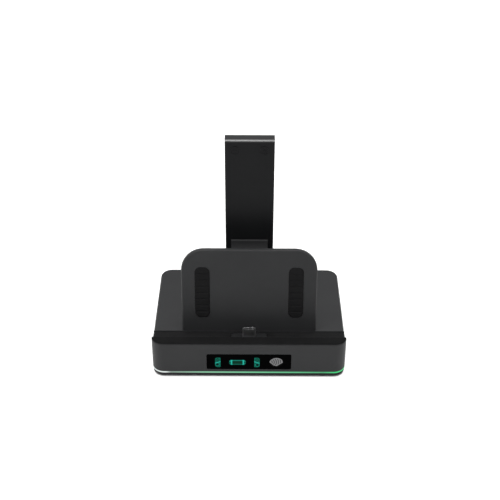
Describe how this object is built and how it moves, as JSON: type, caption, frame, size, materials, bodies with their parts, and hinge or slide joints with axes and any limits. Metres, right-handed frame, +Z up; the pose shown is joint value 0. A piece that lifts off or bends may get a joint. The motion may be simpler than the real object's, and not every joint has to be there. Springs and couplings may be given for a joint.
{
  "type": "charging dock",
  "caption": "Charging dock with a leaning slot and plug, a display window, a glowing strip, a backrest and a rear column with rails on both sides.",
  "frame": {"origin": "middle of the dock's footprint, on the surface that its feet stand on", "axes": "+Z up, +X to the right seen from the front, and the front with the display window looks along -Y"},
  "size_m": [0.12, 0.09, 0.137],
  "materials": {
    "housing": "fine matt moulded, dark grey",
    "column": "fine matt moulded, near black",
    "soft_black": "matt silicone",
    "lens": "polished black",
    "light_strip": "frosted translucent, lit from inside",
    "icon_teal": "translucent print, lit from inside",
    "icon_dark": "translucent print, dimly lit",
    "icon_grey": "grey print",
    "board": "circuit board",
    "connector_pale": "moulded connector",
    "lamp": "lamp body",
    "steel": "plated steel",
    "contact_gold": "gold plated contacts"
  },
  "bodies": {
    "root": {"base_shell": "housing", "bottom_plate": "column", "feet": "soft_black", "base_screws": "steel", "light_guide": "light_strip", "light_board": "board", "strip_lamps": "lamp", "lip_cap": "soft_black", "slot_pad": "soft_black", "display_lens": "lens", "icon_left": "icon_teal", "icon_long": "icon_teal", "icon_field": "icon_dark", "icon_right": "icon_teal", "icon_leaf": "icon_grey", "display_mask": "column", "display_board": "board", "display_header": "connector_pale", "main_board": "board", "board_chips": "column", "board_screws": "steel", "ballast_bars": "steel", "inlet_shell": "steel", "inlet_tongue": "column", "plug_carrier": "column", "plug_shell": "steel", "plug_insert": "column", "plug_riser": "board", "backrest": "housing", "backrest_pads": "soft_black", "backrest_screws": "steel", "column_front": "column", "column_rear": "column", "column_board": "board", "column_header": "connector_pale", "column_screws": "steel", "link_left": "column", "link_right": "column", "contacts_left": "contact_gold", "contacts_right": "contact_gold", "rail_magnets": "steel"}
  },
  "joints": []
}
